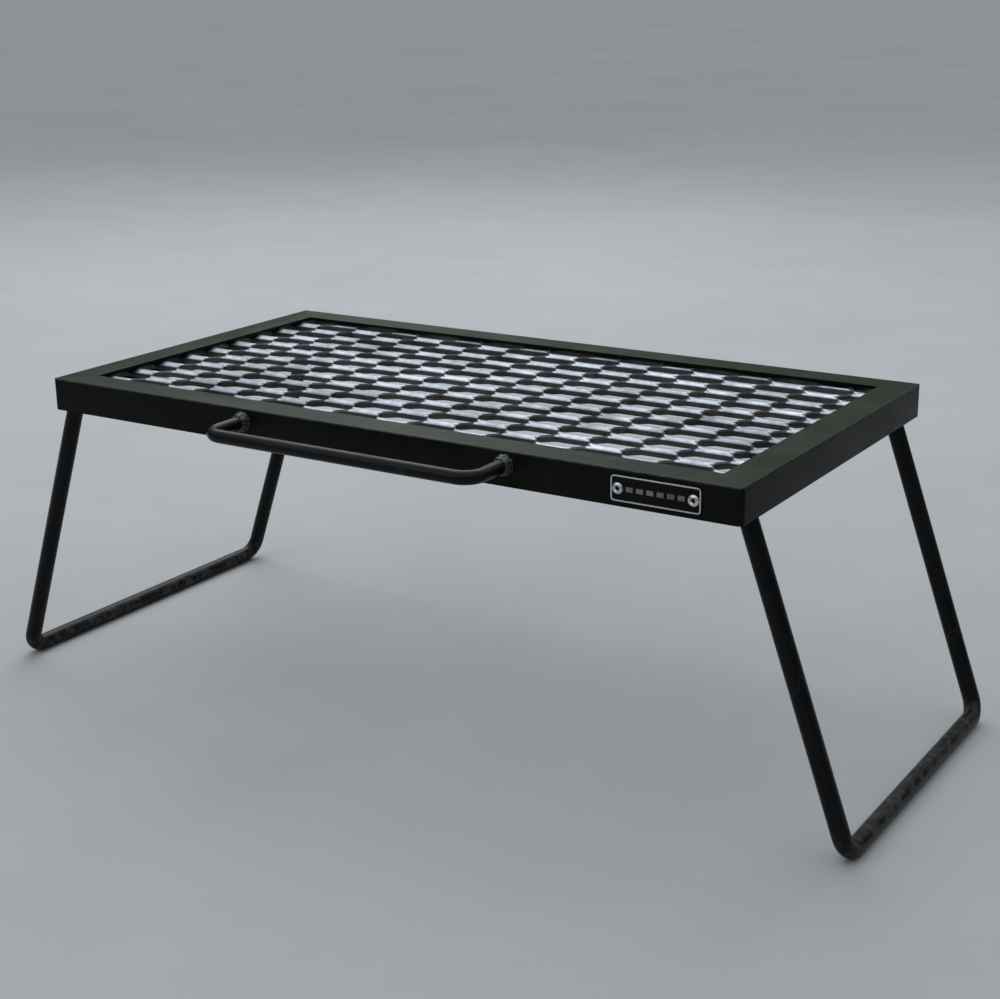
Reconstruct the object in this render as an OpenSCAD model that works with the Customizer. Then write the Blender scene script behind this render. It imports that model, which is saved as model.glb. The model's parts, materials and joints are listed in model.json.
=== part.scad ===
// Folding camp grill: a mitred steel-angle frame with an expanded-metal grill panel,
// a carry handle on the front and a U-shaped round-bar leg hinged inside each end.
// Millimetres, +X along the length, front is -Y, +Z up.
// The origin is on the ground under the middle of the whole grill, handle included.

/* [Frame] */
// Outer length of the frame
frame_len = 595; // [560:1:720]
// Outer depth of the frame
frame_dep = 320; // [265:1:390]
// Width of each leg of the steel angle
angle_w = 25; // [24:1:30]
// Thickness of the steel angle
angle_t = 3; // [2.5:0.1:3.6]
// Radius of the ground outer corners seen from above
corner_r = 4; // [2:0.5:8]
// Radius along the outer long edge of the angle
edge_r = 1.2; // [0.6:0.1:2]
// Radius of the rounded toes of the angle
toe_r = 1.4; // [0.6:0.1:1.8]
// Radius of the fillet in the root of the angle
root_r = 3.5; // [2:0.5:5]

/* [Grill panel] */
// Distance between neighbouring openings along X
mesh_long = 67.2; // [60:0.1:76]
// Distance between neighbouring openings along Y
mesh_short = 30.4; // [28:0.1:34]
// Width of one strand
strand_w = 3.7; // [2.9:0.1:4.2]
// Thickness of the expanded sheet
strand_t = 4.4; // [2.8:0.1:4.6]
// Length of the flat bond between two strands
bond_len = 27; // [18:0.5:28]
// Tilt of the bonds towards the front, in degrees
bond_tilt = 18; // [15:1:26]
// Gap between the panel and the root fillets of the angle
panel_gap = 0.5; // [0.3:0.1:3]
// Shift of the pattern along X
mesh_shift_x = 3.6; // [-30:0.1:30]
// Shift of the pattern along Y
mesh_shift_y = -1; // [-15:0.1:15]

/* [Legs] */
// Diameter of the leg bar
leg_d = 13; // [10.5:0.1:13.4]
// Hinge axis to the middle of the foot bar
leg_len = 242; // [200:1:250]
// Outward splay of an open leg, in degrees
splay = 19.5; // [15:0.5:24]
// Radius of the two bends of a leg, to the middle of the bar
leg_bend = 14; // [11:1:24]
// Outer face of the frame to the middle of the left leg's side bars
left_inset = 12.85; // [12.7:0.05:14]
// Outer face of the frame to the middle of the right leg's side bars
right_inset = 28.3; // [27.5:0.1:34]

/* [Hinges] */
// Diameter of the hinge rods
rod_d = 8; // [6.5:0.1:9]
// Top of the frame down to the hinge axis
hinge_drop = 18; // [17:0.1:20]
// Outer diameter of the sleeves that turn on the rods
sleeve_d = 14; // [13.5:0.5:16]
// Length of each sleeve
sleeve_len = 12.7; // [11:0.1:13]
// Radial clearance between a rod and a sleeve
run_gap = 0.05; // [0.02:0.01:0.1]
// Gap between an open leg and the rail it stops on
stop_gap = 0.3; // [0.2:0.05:0.6]

/* [Handle] */
// Diameter of the handle bar
handle_d = 10; // [8:0.5:11]
// Distance between the middles of the two handle arms
handle_w = 227; // [160:1:275]
// Front face of the frame to the middle of the handle's grip
handle_reach = 40; // [33:1:55]
// Top of the frame down to the middle of the handle
handle_drop = 10; // [9:0.5:13]
// Middle of the frame to the middle of the handle
handle_shift = 10; // [-20:1:20]
// Radius of the two bends of the handle, to the middle of the bar
handle_bend = 13; // [12:1:20]

/* [Nameplate] */
// Width of the nameplate
plate_w = 64.4; // [60:0.2:70]
// Height of the nameplate
plate_h = 17.5; // [14:0.5:18]
// Thickness of the nameplate
plate_t = 1; // [0.8:0.1:1.5]
// Top of the frame down to the middle of the nameplate
plate_drop = 12.5; // [10:0.1:14]
// Middle of the frame to the middle of the nameplate
plate_x = 237.3; // [190:0.1:240]
// Distance between the two rivets
rivet_gap = 54; // [42:0.2:55]
// Diameter of the rivet heads
rivet_d = 8; // [5:0.5:8.5]

/* [Hidden] */
$fn = 64;
eps = 0.01;

half_len = frame_len / 2;
half_dep = frame_dep / 2;
leg_r = leg_d / 2;
rod_r = rod_d / 2;
sleeve_r = sleeve_d / 2;
handle_r = handle_d / 2;

// Heights: the foot bars rest on the ground at Z = 0
top_z = leg_r + leg_len * cos(splay) + hinge_drop;
hinge_z = top_z - hinge_drop;
under_flange_z = top_z - angle_t;
frame_low_z = top_z - angle_w;

// The open leg lies just off the rounded lower edge of the end rail
toe_drop = angle_w - toe_r - hinge_drop;
stop_reach = leg_r + toe_r + stop_gap;
hinge_inset = angle_t - toe_r + (stop_reach + toe_drop * sin(splay)) / cos(splay);
hinge_x = half_len - hinge_inset;
inner_dep = half_dep - angle_t;

// The handle reaches out in front, so the frame stands this far behind the origin
frame_shift = (handle_reach + handle_r) / 2;

// Expanded metal: each strand row is a trapezoid wave between two rows of bonds;
// the steps of the wave are whole microns, so that neighbouring strands meet exactly
row_step = mesh_short / 2;
slope_run = (mesh_long - 2 * bond_len) / 2;
climb = round(1000 * (row_step * cos(bond_tilt) - strand_w)) / 1000;
sink = round(1000 * row_step * sin(bond_tilt)) / 1000;
panel_half_x = half_len - angle_t - root_r - panel_gap;
panel_half_y = half_dep - angle_t - root_r - panel_gap;
bond_half_z = strand_w * sin(bond_tilt) + strand_t / 2 * cos(bond_tilt);
bond_half_y = strand_w * cos(bond_tilt) + strand_t / 2 * sin(bond_tilt);
first_row = ceil((bond_half_y - panel_half_y - mesh_shift_y) / row_step) - 1;
last_row = floor((panel_half_y - bond_half_y - mesh_shift_y) / row_step);
panel_z = under_flange_z - bond_half_z;
wave_cells = ceil((panel_half_x + abs(mesh_shift_x)) / mesh_long) + 1;

// Welds
weld_leg = 2.5;
rod_weld_r = rod_r + 2.2;
rod_weld_tip = rod_r + 0.3;
rod_weld_t = 2.2;
spacer_r = rod_r + 2;
end_play = 0.6;
spacer_len = right_inset - angle_t - sleeve_len / 2 - rod_weld_t - end_play;
neck_weld_r = 1.5;
neck_ring_r = leg_r - 0.1;
neck_sweep = 270;
handle_weld_r = 2.2;
handle_ring_step = 2;
handle_ring_out = 0.9;
handle_ring_in = 0.7;
tack_r = 2.4;
tack_span = 2;
flat_under = half_dep - angle_w + toe_r;
front_tack_row = max(first_row, floor((-flat_under - bond_half_y - mesh_shift_y) / row_step));
back_tack_row = min(last_row, ceil((flat_under - bond_half_y + tack_r - mesh_shift_y) / row_step));

// Plate details
plate_corner = 2.5;
plate_border = 1;
plate_relief = 0.3;
rivet_rise = 1.8;
rivet_shank_r = 2;
rivet_hole_r = 1.3;
rivet_hole_foot = plate_t + 0.6;
dash_w = 5;
dash_h = 3.4;
dash_step = dash_w + 2.4;
dash_count = floor((rivet_gap - rivet_d) / dash_step);
first_dash_x = -(dash_count - 1) / 2 * dash_step;

// ---------- helpers ----------

// One corner wedge of a square bar, to be cut away for a rounded edge
module edge_cut(r) {
  difference() {
    translate([-eps, -eps]) square([r + eps, r + eps]);
    translate([r, r]) circle(r);
  }
}

// Section of the steel angle: X inwards from the outer face, Y down from the top
module angle_section() {
  difference() {
    union() {
      square([angle_w, angle_t]);
      square([angle_t, angle_w]);
      translate([angle_t, angle_t]) difference() {
        square([root_r, root_r]);
        translate([root_r, root_r]) circle(root_r);
      }
    }
    edge_cut(edge_r);
    translate([angle_w, angle_t]) rotate(180) edge_cut(toe_r);
    translate([angle_t, angle_w]) rotate(180) edge_cut(toe_r);
  }
}

// Outline of the whole frame seen from above
module frame_outline() {
  inner_x = half_len - corner_r;
  inner_y = half_dep - corner_r;
  square([frame_len, 2 * inner_y], center = true);
  square([2 * inner_x, frame_dep], center = true);
  for (sx = [-1, 1]) {
    for (sy = [-1, 1]) {
      translate([sx * inner_x, sy * inner_y]) circle(corner_r);
    }
  }
}

// Upright prism as tall as the frame, with a little to spare at both ends
module frame_slice() {
  translate([0, 0, frame_low_z - 1]) linear_extrude(angle_w + 2) children();
}

// Straight rail along X with its outer face on Y = -offset, cut by the two mitres
module straight_rail(length, offset) {
  mitre = 2 * angle_w;
  intersection() {
    translate([-length / 2, -offset, top_z])
      rotate([-90, 0, -90])
        mirror([1, 0, 0])
          linear_extrude(length) angle_section();
    frame_slice()
      polygon([
        [-length / 2, -offset],
        [length / 2, -offset],
        [length / 2 - mitre, mitre - offset],
        [mitre - length / 2, mitre - offset]
      ]);
  }
}

// The same rail turned to its side of the frame, with its outer corners ground round
module mitred_rail(turn, length, offset) {
  intersection() {
    rotate(turn) straight_rail(length, offset);
    frame_slice() frame_outline();
  }
}

// Moves the whole grill back so that the origin is in the middle, handle included
module placed() {
  translate([0, frame_shift, 0]) children();
}

// Round bar along +Z
module bar(r, length) {
  cylinder(h = length, r = r);
}

// Quarter bend in the XZ plane, from +Z at the origin round to +X
module quarter_bend(r, bend) {
  translate([bend, 0, 0])
    rotate([90, 0, 0])
      rotate([0, 0, 90])
        rotate_extrude(angle = 90) translate([bend, 0]) circle(r);
}

// Three-sided bend: two arms along +Z joined by a bar along X at the far end
module u_bar(r, width, reach, bend) {
  arm = reach - bend;
  for (side = [0, 1]) {
    mirror([side, 0, 0]) {
      translate([-width / 2, 0, 0]) bar(r, arm);
      translate([-width / 2, 0, arm]) quarter_bend(r, bend);
      translate([-width / 2 + bend, 0, reach])
        rotate([0, 90, 0]) bar(r, width / 2 - bend);
    }
  }
}

// A ring with a round section lying in the XY plane, closed unless the sweep is given
module ring_bead(radius, bead, sweep = 360) {
  rotate_extrude(angle = sweep) translate([radius, 0]) circle(bead);
}

// Places a leg built along -Z from its hinge axis; side is -1 left, 1 right
module at_hinge(side) {
  placed() translate([side * hinge_x, 0, hinge_z])
    rotate([0, -side * splay, 0]) children();
}

// ---------- frame ----------

module front_rail() {
  color("DarkSlateGray") placed() mitred_rail(0, frame_len, half_dep);
}

module back_rail() {
  color("DarkSlateGray") placed() mitred_rail(180, frame_len, half_dep);
}

module left_rail() {
  color("DarkSlateGray") placed() mitred_rail(-90, frame_dep, half_len);
}

module right_rail() {
  color("DarkSlateGray") placed() mitred_rail(90, frame_dep, half_len);
}

// Upright fillet weld inside each corner of the frame
module corner_welds() {
  bead_foot = frame_low_z + toe_r;
  bead_top = under_flange_z - root_r;
  color("DimGray") placed() for (mx = [0, 1]) {
    for (my = [0, 1]) {
      mirror([mx, 0, 0]) mirror([0, my, 0])
        translate([half_len - angle_t, half_dep - angle_t, bead_foot])
          linear_extrude(bead_top - bead_foot)
            polygon([[0, 0], [-weld_leg, 0], [0, -weld_leg]]);
    }
  }
}

// ---------- grill panel ----------

// Wave height at x, as a share from 0 (front bond) to 1 (back bond)
function wave_share(x) =
  let (u = abs(x - mesh_long * round(x / mesh_long)))
  min(1, max(0, (u - bond_len / 2) / slope_run));

// Places where the wave bends, between the two ends of the panel
function wave_bends(shift) = [
  for (cell = [-wave_cells : wave_cells])
    for (k = [-1, 1])
      for (d = [bond_len / 2, bond_len / 2 + slope_run])
        cell * mesh_long + k * d + shift
];

// The same places in order, kept inside the panel and closed by its two ends
function wave_stops(shift) = concat(
  [-panel_half_x],
  [for (x = sorted(wave_bends(shift))) if (abs(x) < panel_half_x - 0.5) x],
  [panel_half_x]
);

// Ascending copy of a list of numbers
function sorted(list) =
  len(list) < 2 ? list :
  let (pivot = list[floor(len(list) / 2)])
  concat(
    sorted([for (v = list) if (v < pivot) v]),
    [for (v = list) if (v == pivot) v],
    sorted([for (v = list) if (v > pivot) v])
  );

// Band of constant height that follows the wave
module wave_band(height, rise, shift) {
  stops = wave_stops(shift);
  last = len(stops) - 1;
  polygon(concat(
    [for (k = [0 : last]) [stops[k], rise * wave_share(stops[k] - shift) - height / 2]],
    [for (k = [last : -1 : 0]) [stops[k], rise * wave_share(stops[k] - shift) + height / 2]]
  ));
}

// One strand row, drawn in the tilted plane of its front bonds
module strand_row(shift) {
  deep = climb + 2 * strand_w;
  thick = sink + 2 * strand_t;
  intersection() {
    translate([0, 0, -thick]) linear_extrude(2 * thick) wave_band(strand_w, climb, shift);
    translate([0, deep, 0])
      rotate([90, 0, 0]) linear_extrude(2 * deep) wave_band(strand_t, -sink, shift);
  }
}

// Height of a row of bonds along Y, and its own shift along X
function row_y(k) = mesh_shift_y + k * row_step;
function row_x(k) = mesh_shift_x + (k % 2 == 0 ? 0 : mesh_long / 2);

// The strand rows, trimmed square where the outermost ones reach past the panel
module grill_mesh() {
  color("Silver") placed() intersection() {
    translate([0, mesh_shift_y, panel_z]) rotate([bond_tilt, 0, 0])
      for (k = [first_row : last_row]) {
        translate([0, strand_w / 2 + k * (climb + strand_w), -k * sink])
          strand_row(row_x(k));
      }
    translate([-half_len, -panel_half_y, frame_low_z])
      cube([frame_len, 2 * panel_half_y, angle_w]);
  }
}

// Small welds behind the bonds of the outer rows that hold the panel up to the flanges
module mesh_tacks() {
  color("DimGray") placed() for (k = [-tack_span : tack_span]) {
    for (row = [front_tack_row, back_tack_row]) {
      tack_at(row_x(row) + k * mesh_long, row_y(row) + bond_half_y);
    }
  }
}

// Lower half of a small ball under the flange
module tack_at(x, y) {
  translate([x, y, under_flange_z]) intersection() {
    sphere(tack_r);
    translate([-tack_r, -tack_r, -tack_r]) cube([2 * tack_r, 2 * tack_r, tack_r]);
  }
}

// ---------- hinges ----------

module hinge_rod(side) {
  translate([side * hinge_x, inner_dep, hinge_z])
    rotate([90, 0, 0]) cylinder(h = 2 * inner_dep, r = rod_r);
}

module hinge_rod_left() {
  color("DimGray") placed() hinge_rod(-1);
}

module hinge_rod_right() {
  color("DimGray") placed() hinge_rod(1);
}

// Conical fillet weld round each rod end
module hinge_rod_welds() {
  color("DimGray") placed() for (side = [-1, 1]) {
    for (my = [0, 1]) {
      mirror([0, my, 0]) translate([side * hinge_x, inner_dep, hinge_z])
        rotate([90, 0, 0]) difference() {
          cylinder(h = rod_weld_t, r1 = rod_weld_r, r2 = rod_weld_tip);
          translate([0, 0, -1]) cylinder(h = rod_weld_t + 2, r = rod_r);
        }
    }
  }
}

// Tubes on the right rod that hold the narrower right leg in the middle
module spacer_tubes() {
  color("Gray") placed() for (my = [0, 1]) {
    mirror([0, my, 0]) translate([hinge_x, inner_dep - rod_weld_t, hinge_z])
      rotate([90, 0, 0]) difference() {
        cylinder(h = spacer_len, r = spacer_r);
        translate([0, 0, -1]) cylinder(h = spacer_len + 2, r = rod_r);
      }
  }
}

// ---------- legs ----------

// U-shaped bar whose two ends are coped round the sleeves
module leg_bar(inset) {
  half_w = half_dep - inset;
  difference() {
    rotate([0, 180, 0]) rotate(90) u_bar(leg_r, 2 * half_w, leg_len, leg_bend);
    rotate([90, 0, 0]) cylinder(h = frame_dep, r = sleeve_r, center = true);
  }
}

module leg_sleeves(inset) {
  for (sy = [-1, 1]) {
    translate([0, sy * (half_dep - inset), 0]) rotate([90, 0, 0]) difference() {
      cylinder(h = sleeve_len, r = sleeve_r, center = true);
      cylinder(h = sleeve_len + 2, r = rod_r + run_gap, center = true);
    }
  }
}

// Weld bead round the neck of each bar end, under its sleeve; it stays open on the
// outward side, where an open leg lies against its rail
module leg_welds(inset, side) {
  neck = sleeve_r + neck_weld_r / 2;
  outward = 90 - 90 * side;
  for (sy = [-1, 1]) {
    translate([0, sy * (half_dep - inset), 0]) difference() {
      translate([0, 0, -neck])
        rotate(outward + (360 - neck_sweep) / 2)
          ring_bead(neck_ring_r, neck_weld_r, neck_sweep);
      translate([0, 0, -leg_len / 2]) cylinder(h = leg_len / 2, r = leg_r);
      rotate([90, 0, 0]) cylinder(h = 2 * sleeve_len, r = sleeve_r, center = true);
    }
  }
}

module left_leg() {
  color("DarkSlateGray") at_hinge(-1) leg_bar(left_inset);
}

module left_leg_sleeves() {
  color("Gray") at_hinge(-1) leg_sleeves(left_inset);
}

module left_leg_welds() {
  color("DimGray") at_hinge(-1) leg_welds(left_inset, -1);
}

module right_leg() {
  color("DarkSlateGray") at_hinge(1) leg_bar(right_inset);
}

module right_leg_sleeves() {
  color("Gray") at_hinge(1) leg_sleeves(right_inset);
}

module right_leg_welds() {
  color("DimGray") at_hinge(1) leg_welds(right_inset, 1);
}

// ---------- handle ----------

module handle() {
  color("DarkSlateGray") placed()
    translate([handle_shift, -half_dep, top_z - handle_drop])
      rotate([90, 0, 0])
        u_bar(handle_r, handle_w, handle_reach, handle_bend);
}

// Stacked rings of weld round the foot of each arm, each smaller than the last
module handle_welds() {
  color("DimGray") placed() for (side = [-1, 1]) {
    translate([handle_shift + side * handle_w / 2, -half_dep, top_z - handle_drop])
      rotate([90, 0, 0]) difference() {
        union() {
          for (k = [0 : 2]) {
            translate([0, 0, k * handle_ring_step])
              ring_bead(handle_r + handle_ring_out - k * handle_ring_in, handle_weld_r);
          }
        }
        translate([0, 0, -1]) cylinder(h = handle_reach, r = handle_r);
        translate([0, 0, -handle_d]) cylinder(h = handle_d, r = 2 * handle_d);
      }
  }
}

// ---------- nameplate ----------

// Rectangle with rounded corners, centred
module round_rect(w, h, r) {
  square([w, h - 2 * r], center = true);
  square([w - 2 * r, h], center = true);
  for (sx = [-1, 1]) {
    for (sy = [-1, 1]) {
      translate([sx * (w / 2 - r), sy * (h / 2 - r)]) circle(r);
    }
  }
}

// Moves a piece drawn on the XY plane onto the front face, at the plate's place
module on_front() {
  placed() translate([plate_x, -half_dep, top_z - plate_drop])
    rotate([90, 0, 0]) children();
}

// Plate with a raised border, a row of raised dashes and two rivet holes
module nameplate() {
  inner_w = plate_w - 2 * plate_border;
  inner_h = plate_h - 2 * plate_border;
  color("Black") on_front() difference() {
    union() {
      linear_extrude(plate_t) round_rect(plate_w, plate_h, plate_corner);
      linear_extrude(plate_t + plate_relief) difference() {
        round_rect(plate_w, plate_h, plate_corner);
        round_rect(inner_w, inner_h, plate_corner - plate_border);
      }
      linear_extrude(plate_t + plate_relief) for (k = [0 : dash_count - 1]) {
        translate([first_dash_x + k * dash_step, 0]) square([dash_w, dash_h], center = true);
      }
    }
    for (side = [-1, 1]) {
      translate([side * rivet_gap / 2, 0, -1]) cylinder(h = plate_t + 2, r = rivet_shank_r);
    }
  }
}

// Domed rivets with a small hole in the middle of each head
module nameplate_rivets() {
  rivet_r = rivet_d / 2;
  dome_r = (rivet_r * rivet_r + rivet_rise * rivet_rise) / (2 * rivet_rise);
  color("Silver") on_front() for (side = [-1, 1]) {
    translate([side * rivet_gap / 2, 0, 0]) difference() {
      union() {
        cylinder(h = plate_t, r = rivet_shank_r);
        translate([0, 0, plate_t]) intersection() {
          translate([0, 0, rivet_rise - dome_r]) sphere(dome_r);
          cylinder(h = 2 * rivet_rise, r = rivet_r);
        }
      }
      translate([0, 0, rivet_hole_foot]) cylinder(h = 2 * rivet_rise, r = rivet_hole_r);
    }
  }
}

// ---------- assembly ----------

front_rail();
back_rail();
left_rail();
right_rail();
corner_welds();
grill_mesh();
mesh_tacks();
hinge_rod_left();
hinge_rod_right();
hinge_rod_welds();
spacer_tubes();
left_leg();
left_leg_sleeves();
left_leg_welds();
right_leg();
right_leg_sleeves();
right_leg_welds();
handle();
handle_welds();
nameplate();
nameplate_rivets();
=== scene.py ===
"""A folding camp grill, dressed in its steel, paint and welds on a plain studio floor."""

import json
import logging
import math
from collections.abc import Callable, Mapping, Sequence
from dataclasses import dataclass, field
from enum import Enum

import bmesh
import bpy
from mathutils import Matrix, Vector


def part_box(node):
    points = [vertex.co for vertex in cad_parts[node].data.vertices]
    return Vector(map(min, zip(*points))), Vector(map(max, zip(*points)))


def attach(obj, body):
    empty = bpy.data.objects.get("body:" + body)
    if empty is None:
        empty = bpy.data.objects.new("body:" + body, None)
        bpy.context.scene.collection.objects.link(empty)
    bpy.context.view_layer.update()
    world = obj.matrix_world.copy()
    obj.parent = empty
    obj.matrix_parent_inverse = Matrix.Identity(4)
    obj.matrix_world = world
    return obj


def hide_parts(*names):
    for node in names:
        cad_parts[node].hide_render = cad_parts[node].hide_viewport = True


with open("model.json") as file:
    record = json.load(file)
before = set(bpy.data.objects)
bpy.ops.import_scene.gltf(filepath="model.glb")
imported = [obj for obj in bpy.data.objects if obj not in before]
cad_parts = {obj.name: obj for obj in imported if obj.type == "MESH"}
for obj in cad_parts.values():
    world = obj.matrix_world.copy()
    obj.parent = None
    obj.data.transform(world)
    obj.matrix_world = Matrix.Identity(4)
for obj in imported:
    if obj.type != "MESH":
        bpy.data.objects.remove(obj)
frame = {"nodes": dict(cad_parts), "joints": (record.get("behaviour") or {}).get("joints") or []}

LOG = logging.getLogger("camp_grill")
MM = 0.001
Colour = tuple[float, float, float]
Socket = bpy.types.NodeSocket
Shape = bmesh.types.BMesh
Value = Socket | float


class Body(Enum):
    """The three bodies that move against each other."""

    FRAME = "frame"
    LEFT_LEG = "leg_left"
    RIGHT_LEG = "leg_right"


class Side(Enum):
    """The end of the frame that a leg hangs from."""

    LEFT = -1
    RIGHT = 1


# ---------------------------------------------------------------- measures


@dataclass
class Measures:
    """The grill's main sizes, read from the frame in metres."""

    top_z: float = 0.0
    low_z: float = 0.0
    half_len: float = 0.0
    half_dep: float = 0.0
    middle_y: float = 0.0
    steel: float = 3 * MM

    @classmethod
    def read(cls) -> "Measures":
        """Measures the front, back and right rails.

        Returns:
            The frame's outer sizes and heights.
        """
        front_low, front_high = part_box("front_rail")
        _, back_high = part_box("back_rail")
        _, right_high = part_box("right_rail")
        return cls(
            top_z=front_high[2],
            low_z=front_low[2],
            half_len=right_high[0],
            half_dep=(back_high[1] - front_low[1]) / 2,
            middle_y=(back_high[1] + front_low[1]) / 2,
        )

    @property
    def front_y(self) -> float:
        """Place of the frame's front face along Y."""
        return self.middle_y - self.half_dep

    @property
    def under_flange_z(self) -> float:
        """Height of the underside of the top flanges."""
        return self.top_z - self.steel


# ---------------------------------------------------------------- shader wiring


class Wiring:
    """Adds nodes to one node tree and joins them."""

    def __init__(self, tree: bpy.types.NodeTree) -> None:
        """Keeps the tree that later calls add to."""
        self.tree = tree

    def node(self, kind: str, inputs: Mapping | None = None, **settings: object) -> bpy.types.Node:
        """Adds one node.

        Args:
            kind: Blender's name for the node type.
            inputs: socket name or number to a fixed value or an output to join.
            settings: the node's own properties.

        Returns:
            The new node.
        """
        made = self.tree.nodes.new(kind)
        for name, setting in settings.items():
            setattr(made, name, setting)
        for key, value in (inputs or {}).items():
            if isinstance(value, Socket):
                self.tree.links.new(value, made.inputs[key])
            else:
                made.inputs[key].default_value = value
        return made

    def math(self, operation: str, *values: Value, clamp: bool = False) -> Socket:
        """Joins values through one Math node and returns its result."""
        inputs = dict(enumerate(values))
        return self.node("ShaderNodeMath", inputs, operation=operation, use_clamp=clamp).outputs[0]

    def vector(self, operation: str, one: Value, other: Value | tuple) -> Socket:
        """Joins two vectors through one Vector Math node and returns its result."""
        return self.node("ShaderNodeVectorMath", {0: one, 1: other}, operation=operation).outputs[0]

    def height(self, vector: Value) -> Socket:
        """Returns the Z part of a vector."""
        return self.node("ShaderNodeSeparateXYZ", {"Vector": vector}).outputs["Z"]

    def facing_up(self) -> Socket:
        """Returns 1 on faces that look straight up and less as they turn away."""
        return self.height(self.node("ShaderNodeTexCoord").outputs["Normal"])

    def noise(self, where: Value, scale: Value, detail: float = 4.0) -> Socket:
        """Returns a noise value of the given scale."""
        made = self.node("ShaderNodeTexNoise", {"Vector": where, "Scale": scale, "Detail": detail})
        return made.outputs["Fac"]

    def fade(self, value: Value, start: Value, end: Value) -> Socket:
        """Returns a smooth step from 0 at start to 1 at end."""
        inputs = {"Value": value, "From Min": start, "From Max": end}
        made = self.node("ShaderNodeMapRange", inputs, interpolation_type="SMOOTHSTEP")
        return made.outputs["Result"]

    def span(self, value: Value, low: Value, high: Value) -> Socket:
        """Returns a value from 0 to 1 stretched over low to high."""
        inputs = {"Value": value, "To Min": low, "To Max": high}
        return self.node("ShaderNodeMapRange", inputs).outputs["Result"]

    def blend(self, mask: Value, under: Colour | Value, over: Colour | Value) -> Socket:
        """Lays one colour over another by a mask.

        Args:
            mask: 0 shows under, 1 shows over.
            under: the colour or socket below.
            over: the colour or socket on top.

        Returns:
            The mixed colour.
        """
        inputs = {0: mask, 6: opaque(under), 7: opaque(over)}
        return self.node("ShaderNodeMix", inputs, data_type="RGBA").outputs[2]

    def bump(self, height: Value, strength: float, depth: float) -> Socket:
        """Returns the surface normal bent by a height that is depth metres deep."""
        inputs = {"Height": height, "Strength": strength, "Distance": depth}
        return self.node("ShaderNodeBump", inputs).outputs["Normal"]


def opaque(colour: Colour | Value) -> tuple | Value:
    """Adds full alpha to a plain colour and passes a socket through."""
    return (*colour, 1.0) if isinstance(colour, tuple) else colour


def new_group(
    name: str, inputs: Mapping[str, float], outputs: Sequence[str], wire: Callable
) -> bpy.types.NodeTree:
    """Builds a shader group that reads a place on the surface and some numbers.

    Args:
        name: the group's name.
        inputs: name of each number to its usual value.
        outputs: names of the values that the group gives.
        wire: takes the wiring and the input sockets, and returns the output sockets.

    Returns:
        The finished group.
    """
    tree = bpy.data.node_groups.new(name, "ShaderNodeTree")
    tree.interface.new_socket("Where", in_out="INPUT", socket_type="NodeSocketVector")
    for key, usual in inputs.items():
        socket = tree.interface.new_socket(key, in_out="INPUT", socket_type="NodeSocketFloat")
        socket.default_value = usual
    for key in outputs:
        tree.interface.new_socket(key, in_out="OUTPUT", socket_type="NodeSocketFloat")
    wiring = Wiring(tree)
    source = wiring.node("NodeGroupInput")
    results = wire(wiring, source.outputs)
    wiring.node("NodeGroupOutput", dict(zip(outputs, results)))
    return tree


def wire_mottle(wiring: Wiring, given: Mapping) -> Sequence[Socket]:
    """Slow patches, broken by finer ones, stretched from Low to High."""
    broad = wiring.noise(given["Where"], given["Scale"], 3.0)
    fine = wiring.noise(given["Where"], wiring.math("MULTIPLY", given["Scale"], 6.0), 5.0)
    both = wiring.math("MULTIPLY_ADD", fine, 0.4, wiring.math("MULTIPLY", broad, 0.6))
    even = wiring.fade(both, 0.32, 0.68)
    return [wiring.span(even, given["Low"], given["High"])]


def wire_specks(wiring: Wiring, given: Mapping) -> Sequence[Socket]:
    """Small scattered crumbs: cell middles, kept only where a slow noise allows."""
    inputs = {"Vector": given["Where"], "Scale": given["Scale"], "Randomness": 1.0}
    cells = wiring.node("ShaderNodeTexVoronoi", inputs)
    near = wiring.fade(cells.outputs["Distance"], given["Size"], 0.0)
    gate = wiring.noise(given["Where"], wiring.math("MULTIPLY", given["Scale"], 0.13), 2.0)
    kept = wiring.fade(gate, given["Gate"], wiring.math("ADD", given["Gate"], 0.08))
    return [wiring.math("MULTIPLY", near, kept)]


def wire_dust(wiring: Wiring, given: Mapping) -> Sequence[Socket]:
    """Thin dust on faces that look up, thicker where a cloudy noise is high."""
    level = wiring.fade(wiring.facing_up(), 0.2, 1.0)
    cloud = wiring.fade(wiring.noise(given["Where"], 38.0, 6.0), 0.35, 0.75)
    grit = wiring.fade(wiring.noise(given["Where"], 900.0, 2.0), 0.35, 0.7)
    broken = wiring.math("MULTIPLY", cloud, wiring.span(grit, 0.45, 1.0))
    return [wiring.math("MULTIPLY", wiring.math("MULTIPLY", broken, level), given["Cover"])]


def wire_grain(wiring: Wiring, given: Mapping) -> Sequence[Socket]:
    """A sprayed or rolled skin: soft dimples with a finer tooth on them."""
    dimples = wiring.noise(given["Where"], given["Scale"], 2.0)
    tooth = wiring.noise(given["Where"], wiring.math("MULTIPLY", given["Scale"], 4.5), 2.0)
    return [wiring.math("MULTIPLY_ADD", tooth, 0.35, wiring.math("MULTIPLY", dimples, 0.65))]


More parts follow.
